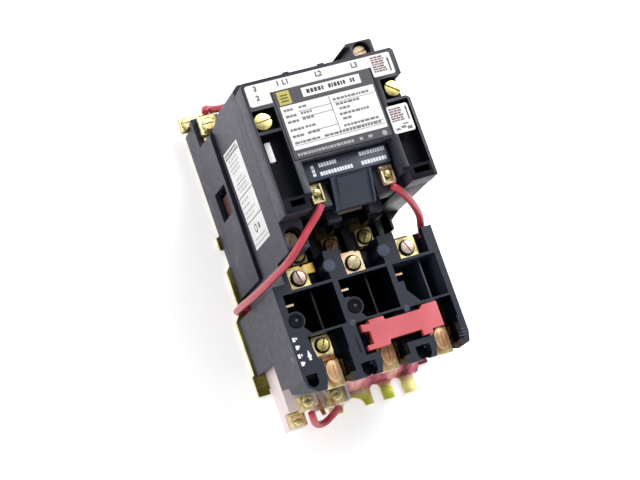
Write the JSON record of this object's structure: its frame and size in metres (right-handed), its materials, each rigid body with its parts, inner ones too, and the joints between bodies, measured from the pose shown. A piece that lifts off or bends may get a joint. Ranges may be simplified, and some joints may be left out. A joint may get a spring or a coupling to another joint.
{
  "type": "magnetic motor starter",
  "caption": "Contactor with a coil, brass terminals and a screwed front cover above an overload relay with heater bays and a red reset bar, wired together on a zinc plated steel plate.",
  "frame": {"origin": "on the back face of the mounting plate, on the centre line of the overload relay", "axes": "+X to the right seen from the front, +Y towards the line terminals, +Z out of the panel"},
  "size_m": [0.1083, 0.1967, 0.118],
  "materials": {
    "zinc_plate": "zinc dichromate, yellow-green sheen",
    "base_plastic": "moulded, matte, grey-violet black",
    "cover_plastic": "moulded, matte, blue-black",
    "coil_plastic": "moulded, black",
    "coil_cover_plastic": "moulded, satin blue-black",
    "magnet_steel": "laminated, oiled",
    "carrier_plastic": "moulded, red-brown",
    "spring_steel": "drawn wire",
    "contact_copper": "copper strip with silver faces",
    "terminal_brass": "plated, satin",
    "screw_brass": "plated, bright",
    "strap_brass": "plated strip",
    "saddle_brass": "plated, with a paler screw head",
    "lug_screw_copper": "copper coloured plating",
    "relay_plastic": "moulded, satin blue-black",
    "reset_plastic": "moulded, satin coral red",
    "block_plastic": "moulded, pinkish white",
    "wire_insulation": "smooth insulation"
  },
  "bodies": {
    "starter": {"mounting_plate": "zinc_plate", "contactor_base": "base_plastic", "arc_housing": "base_plastic", "front_cover": "cover_plastic", "coil": "coil_plastic", "coil_cover": "coil_cover_plastic", "magnet_core": "magnet_steel", "return_spring": "spring_steel", "aux_contact_upper": "terminal_brass", "aux_contact_lower": "terminal_brass", "line_contact_1": "terminal_brass", "load_contact_1": "terminal_brass", "line_screw_1": "screw_brass", "load_screw_1": "screw_brass", "line_contact_2": "terminal_brass", "load_contact_2": "terminal_brass", "line_screw_2": "screw_brass", "load_screw_2": "screw_brass", "line_contact_3": "terminal_brass", "load_contact_3": "terminal_brass", "line_screw_3": "screw_brass", "load_screw_3": "screw_brass", "coil_terminal_left": "terminal_brass", "coil_terminal_right": "terminal_brass", "cover_screw_left": "screw_brass", "cover_screw_right": "screw_brass", "housing_screw_top": "screw_brass", "housing_screw_bottom": "screw_brass", "overload_housing": "relay_plastic", "strap_1": "strap_brass", "strap_screw_1": "saddle_brass", "output_lug_1": "strap_brass", "heater_screw_1": "saddle_brass", "output_screw_1": "lug_screw_copper", "strap_2": "strap_brass", "strap_screw_2": "saddle_brass", "output_lug_2": "strap_brass", "heater_screw_2": "saddle_brass", "output_screw_2": "lug_screw_copper", "strap_3": "strap_brass", "strap_screw_3": "saddle_brass", "output_lug_3": "strap_brass", "heater_screw_3": "saddle_brass", "output_screw_3": "lug_screw_copper", "reset_spring": "spring_steel", "contact_block": "block_plastic", "control_terminal_left": "terminal_brass", "control_terminal_right": "terminal_brass", "wire_left": "wire_insulation", "wire_right": "wire_insulation", "wire_jumper": "wire_insulation", "wire_aux": "wire_insulation"},
    "crossbar": {"armature": "magnet_steel", "contact_carrier": "carrier_plastic", "bridge_1": "contact_copper", "bridge_2": "contact_copper", "bridge_3": "contact_copper", "bridge_aux": "contact_copper"},
    "reset": {"reset_bar": "reset_plastic"},
    "slider": {"trip_slider": "carrier_plastic"}
  },
  "joints": [
    {"name": "crossbar_slide", "type": "slide", "parent": "starter", "child": "crossbar", "axis": [0, 0, 1], "range_m": [0, 0.005], "stiffness_N_per_m": 400, "springref_m": -0.006, "deforming": ["return_spring"]},
    {"name": "reset_slide", "type": "slide", "parent": "starter", "child": "reset", "axis": [0, 0, -1], "range_m": [0, 0.0035], "stiffness_N_per_m": 300, "springref_m": -0.003, "deforming": ["reset_spring"]},
    {"name": "trip_slide", "type": "slide", "parent": "starter", "child": "slider", "axis": [1, 0, 0], "range_m": [0, 0.004]}
  ]
}
